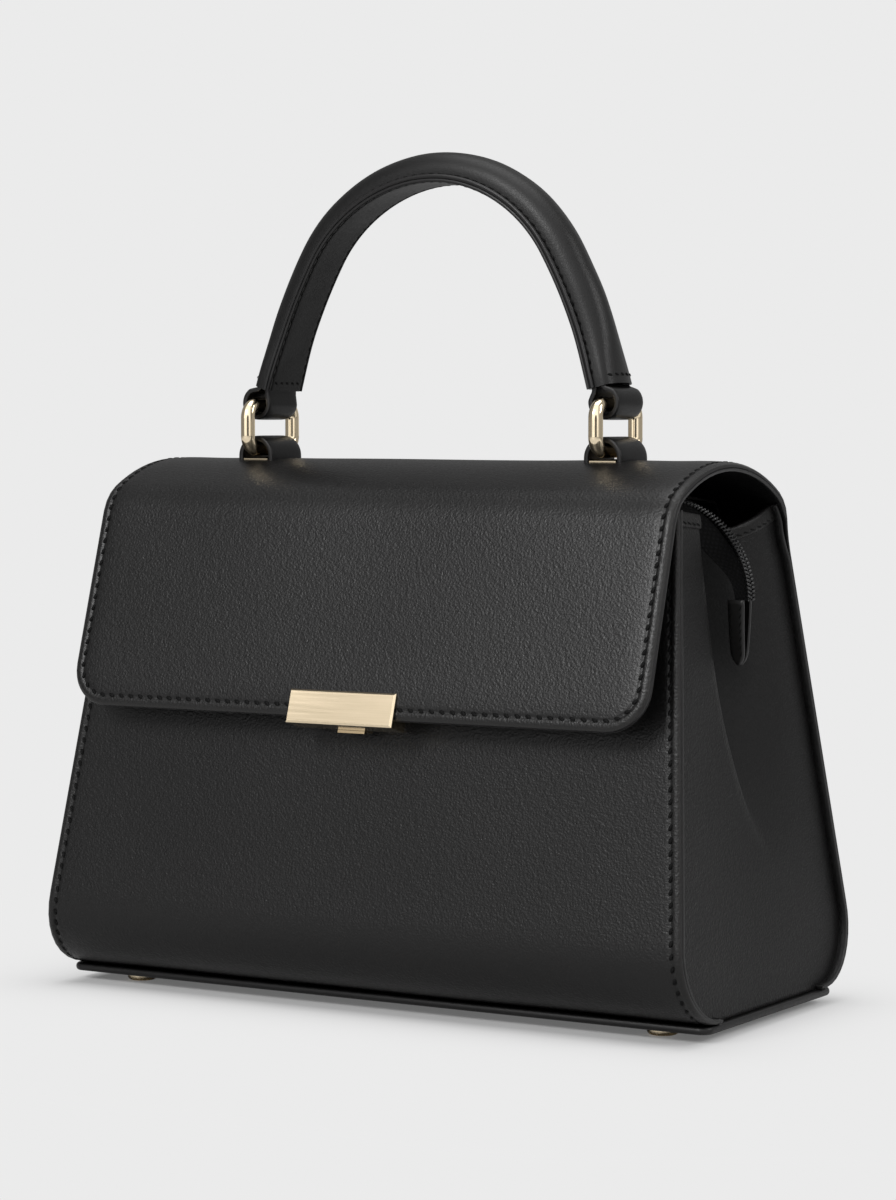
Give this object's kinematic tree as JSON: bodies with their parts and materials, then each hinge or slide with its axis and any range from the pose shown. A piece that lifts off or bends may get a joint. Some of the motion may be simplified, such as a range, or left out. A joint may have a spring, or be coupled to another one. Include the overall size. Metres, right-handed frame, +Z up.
{
  "type": "top handle bag",
  "caption": "Structured black leather top handle bag with an arched flap, pleated side gussets, a push lock and a rolled handle on oval rings.",
  "frame": {"origin": "on the floor, under the middle of the bag's width and of its whole depth, the lock bar included", "axes": "+Z up through the handle, +X to the right seen from the front, the flap's front and the lock face -Y"},
  "size_m": [0.29, 0.149, 0.3302],
  "materials": {
    "black_leather": "satin, fine grain",
    "fibre_board": "covered board",
    "handle_filling": "felt",
    "lining_cloth": "woven",
    "zip_tape": "woven tape",
    "zip_coil": "moulded coil",
    "pale_gold": "polished pale gold plate",
    "brushed_pale_gold": "brushed pale gold plate",
    "plain_steel": "plain"
  },
  "bodies": {
    "bag": {"base_panel": "black_leather", "base_board": "fibre_board", "feet": "pale_gold", "foot_washers": "plain_steel", "front_panel": "black_leather", "back_panel": "black_leather", "gusset_left": "black_leather", "gusset_right": "black_leather", "gusset_band_left": "black_leather", "gusset_band_right": "black_leather", "lining": "lining_cloth", "zip_facing_front": "black_leather", "zip_facing_rear": "black_leather", "zip_tape_front": "zip_tape", "zip_tape_rear": "zip_tape", "zip_chain": "zip_coil", "zip_end_tab": "black_leather", "lock_case": "pale_gold", "lock_backplate": "plain_steel", "lock_rivets": "plain_steel", "lock_spring": "plain_steel"},
    "slider": {"zip_slider": "pale_gold"},
    "pull": {"zip_pull": "pale_gold"},
    "release": {"release_tab": "pale_gold"},
    "flap": {"flap_outer": "black_leather", "flap_lining": "black_leather", "lock_bar": "brushed_pale_gold", "lock_tongue": "pale_gold", "ring_loop_left": "black_leather", "ring_loop_right": "black_leather", "loop_seat_left": "pale_gold", "loop_seat_right": "pale_gold", "loop_anchor_left": "plain_steel", "loop_anchor_right": "plain_steel"},
    "ring_left": {"ring_left": "pale_gold"},
    "ring_right": {"ring_right": "pale_gold"},
    "handle": {"handle_cover": "black_leather", "handle_underside": "black_leather", "handle_core": "handle_filling", "handle_loop_left": "black_leather", "handle_loop_right": "black_leather"}
  },
  "joints": [
    {"name": "flap_hinge", "type": "hinge", "parent": "bag", "child": "flap", "pos_m": [0, 0.0484, 0.1859], "axis": [-1, 0, 0], "range_deg": [0, 105]},
    {"name": "ring_left_swing", "type": "hinge", "parent": "flap", "child": "ring_left", "pos_m": [-0.0793, -0.002, 0.2144], "axis": [0, 1, 0], "range_deg": [-25, 25]},
    {"name": "ring_right_swing", "type": "hinge", "parent": "flap", "child": "ring_right", "pos_m": [0.0793, -0.002, 0.2144], "axis": [0, 1, 0], "range_deg": [-25, 25]},
    {"name": "handle_swing", "type": "hinge", "parent": "ring_left", "child": "handle", "pos_m": [-0.0793, -0.002, 0.2318], "axis": [0, 1, 0], "range_deg": [-25, 25]},
    {"name": "release_slide", "type": "slide", "parent": "bag", "child": "release", "axis": [0, 0.9583, -0.2857], "range_m": [0, 0.0012], "stiffness_N_per_m": 300, "deforming": ["lock_spring"]},
    {"name": "zip_slide", "type": "slide", "parent": "bag", "child": "slider", "axis": [1, 0, 0], "range_m": [0, 0.19]},
    {"name": "pull_swing", "type": "hinge", "parent": "slider", "child": "pull", "pos_m": [-0.0975, -0.002, 0.1997], "axis": [0, -1, 0], "range_deg": [0, 12]}
  ],
  "couplings": [
    {"joint": "ring_right_swing", "follows": "ring_left_swing", "ratio": 1},
    {"joint": "handle_swing", "follows": "ring_left_swing", "ratio": -1}
  ]
}
